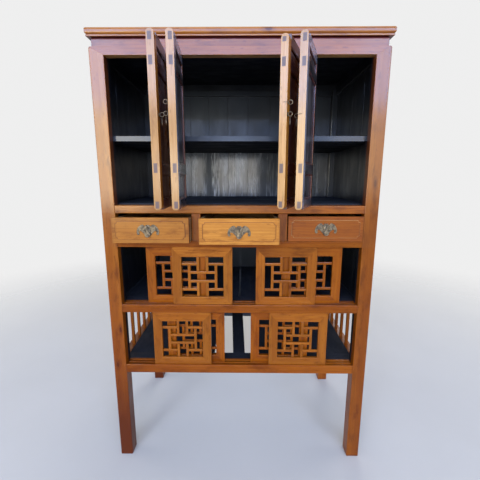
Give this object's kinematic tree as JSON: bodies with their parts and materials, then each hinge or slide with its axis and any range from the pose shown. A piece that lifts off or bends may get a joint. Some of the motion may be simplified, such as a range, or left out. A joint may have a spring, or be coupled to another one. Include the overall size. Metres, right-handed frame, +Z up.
{
  "type": "food cabinet",
  "caption": "Tall wooden cabinet on square legs, with pivoting panelled doors over shallow drawers, and sliding lattice panels in front of the airy lower compartments.",
  "frame": {"origin": "on the ground, under the middle of the space that the cabinet takes up with its doors, drawers and panels as at rest", "axes": "+Z up, +X to the right for someone who faces the doors, +Y from the doors to the back"},
  "size_m": [1.114, 0.8148, 1.798],
  "materials": {
    "pine": "honey varnish, worn satin gloss",
    "black_lacquer": "black lacquer, worn gloss",
    "brass": "dark aged brass"
  },
  "bodies": {
    "case": {"post_front_left": "pine", "post_front_right": "pine", "post_rear_left": "pine", "post_rear_right": "pine", "cap": "pine", "frieze": "pine", "rail_low": "pine", "rail_mid": "pine", "rail_deck": "pine", "rail_waist": "pine", "rail_top": "pine", "mullion_left": "pine", "mullion_right": "pine", "drawer_partition_left": "pine", "drawer_partition_right": "pine", "side_upper_left": "pine", "side_upper_right": "pine", "side_middle_left": "pine", "side_middle_right": "pine", "side_lower_left": "pine", "side_lower_right": "pine", "back_upper": "black_lacquer", "back_middle": "black_lacquer", "back_lower": "black_lacquer", "shelf": "black_lacquer", "cupboard_floor": "black_lacquer", "drawer_deck": "pine", "high_row_floor": "black_lacquer", "low_row_floor": "black_lacquer"},
    "door_a": {"leaf_a": "pine", "leaf_a_ring": "brass"},
    "door_b": {"leaf_b": "pine", "leaf_b_ring": "brass", "leaf_b_lock_ring": "brass"},
    "door_c": {"leaf_c": "pine", "leaf_c_ring": "brass", "leaf_c_lock_ring": "brass"},
    "door_d": {"leaf_d": "pine", "leaf_d_ring": "brass"},
    "door_a_pull": {"leaf_a_drop": "brass"},
    "door_b_pull": {"leaf_b_drop": "brass"},
    "door_c_pull": {"leaf_c_drop": "brass"},
    "door_d_pull": {"leaf_d_drop": "brass"},
    "drawer_one": {"drawer_one": "pine", "drawer_one_plate": "brass"},
    "drawer_two": {"drawer_two": "pine", "drawer_two_plate": "brass"},
    "drawer_three": {"drawer_three": "pine", "drawer_three_plate": "brass"},
    "drawer_one_pull": {"drawer_one_drop": "brass"},
    "drawer_two_pull": {"drawer_two_drop": "brass"},
    "drawer_three_pull": {"drawer_three_drop": "brass"},
    "panel_high_far_left": {"panel_high_far_left": "pine"},
    "panel_high_near_left": {"panel_high_near_left": "pine"},
    "panel_high_near_right": {"panel_high_near_right": "pine"},
    "panel_high_far_right": {"panel_high_far_right": "pine"},
    "panel_low_far_left": {"panel_low_far_left": "pine"},
    "panel_low_near_left": {"panel_low_near_left": "pine"},
    "panel_low_near_right": {"panel_low_near_right": "pine"},
    "panel_low_far_right": {"panel_low_far_right": "pine"}
  },
  "joints": [
    {"name": "door_a_pivot", "type": "hinge", "parent": "case", "child": "door_a", "pos_m": [-0.2745, -0.18759, 1.1615], "axis": [0, 0, 1], "range_deg": [-92.5, 0]},
    {"name": "door_b_pivot", "type": "hinge", "parent": "case", "child": "door_b", "pos_m": [-0.2215, -0.18759, 1.1615], "axis": [0, 0, 1], "range_deg": [0, 86]},
    {"name": "door_c_pivot", "type": "hinge", "parent": "case", "child": "door_c", "pos_m": [0.2215, -0.18759, 1.1615], "axis": [0, 0, 1], "range_deg": [-68, 0]},
    {"name": "door_d_pivot", "type": "hinge", "parent": "case", "child": "door_d", "pos_m": [0.2745, -0.18759, 1.1615], "axis": [0, 0, 1], "range_deg": [0, 110.5]},
    {"name": "door_a_pull_swing", "type": "hinge", "parent": "door_a", "child": "door_a_pull", "pos_m": [-0.24514, -0.381, 1.4645], "axis": [0.0436, -0.999, 0], "range_deg": [-8, 25]},
    {"name": "door_b_pull_swing", "type": "hinge", "parent": "door_b", "child": "door_b_pull", "pos_m": [-0.22767, -0.39904, 1.4645], "axis": [-0.0698, 0.9976, 0], "range_deg": [-8, 25]},
    {"name": "door_c_pull_swing", "type": "hinge", "parent": "door_c", "child": "door_c_pull", "pos_m": [0.16202, -0.39059, 1.4645], "axis": [-0.3746, -0.9272, 0], "range_deg": [-8, 25]},
    {"name": "door_d_pull_swing", "type": "hinge", "parent": "door_d", "child": "door_d_pull", "pos_m": [0.18681, -0.36246, 1.4645], "axis": [0.3502, 0.9367, 0], "range_deg": [-8, 25]},
    {"name": "drawer_one_slide", "type": "slide", "parent": "case", "child": "drawer_one", "axis": [0, -1, 0], "range_m": [-0.052, 0.248]},
    {"name": "drawer_two_slide", "type": "slide", "parent": "case", "child": "drawer_two", "axis": [0, -1, 0], "range_m": [-0.078, 0.222]},
    {"name": "drawer_three_slide", "type": "slide", "parent": "case", "child": "drawer_three", "axis": [0, -1, 0], "range_m": [-0.008, 0.292]},
    {"name": "drawer_one_pull_swing", "type": "hinge", "parent": "drawer_one", "child": "drawer_one_pull", "pos_m": [-0.35175, -0.26099, 1.0833], "axis": [-1, 0, 0], "range_deg": [-6, 75]},
    {"name": "drawer_two_pull_swing", "type": "hinge", "parent": "drawer_two", "child": "drawer_two_pull", "pos_m": [0, -0.28699, 1.0833], "axis": [-1, 0, 0], "range_deg": [-6, 75]},
    {"name": "drawer_three_pull_swing", "type": "hinge", "parent": "drawer_three", "child": "drawer_three_pull", "pos_m": [0.34375, -0.21699, 1.0833], "axis": [-1, 0, 0], "range_deg": [-6, 75]},
    {"name": "panel_high_far_left_slide", "type": "slide", "parent": "case", "child": "panel_high_far_left", "axis": [1, 0, 0], "range_m": [-0.1046, 0.1414]},
    {"name": "panel_high_near_left_slide", "type": "slide", "parent": "case", "child": "panel_high_near_left", "axis": [1, 0, 0], "range_m": [-0.2172, 0.0288]},
    {"name": "panel_high_near_right_slide", "type": "slide", "parent": "case", "child": "panel_high_near_right", "axis": [1, 0, 0], "range_m": [-0.0684, 0.1776]},
    {"name": "panel_high_far_right_slide", "type": "slide", "parent": "case", "child": "panel_high_far_right", "axis": [1, 0, 0], "range_m": [-0.1771, 0.0689]},
    {"name": "panel_low_far_left_slide", "type": "slide", "parent": "case", "child": "panel_low_far_left", "axis": [1, 0, 0], "range_m": [-0.181, 0.065]},
    {"name": "panel_low_near_left_slide", "type": "slide", "parent": "case", "child": "panel_low_near_left", "axis": [1, 0, 0], "range_m": [-0.1245, 0.1215]},
    {"name": "panel_low_near_right_slide", "type": "slide", "parent": "case", "child": "panel_low_near_right", "axis": [1, 0, 0], "range_m": [-0.128, 0.118]},
    {"name": "panel_low_far_right_slide", "type": "slide", "parent": "case", "child": "panel_low_far_right", "axis": [1, 0, 0], "range_m": [-0.0491, 0.1969]}
  ]
}
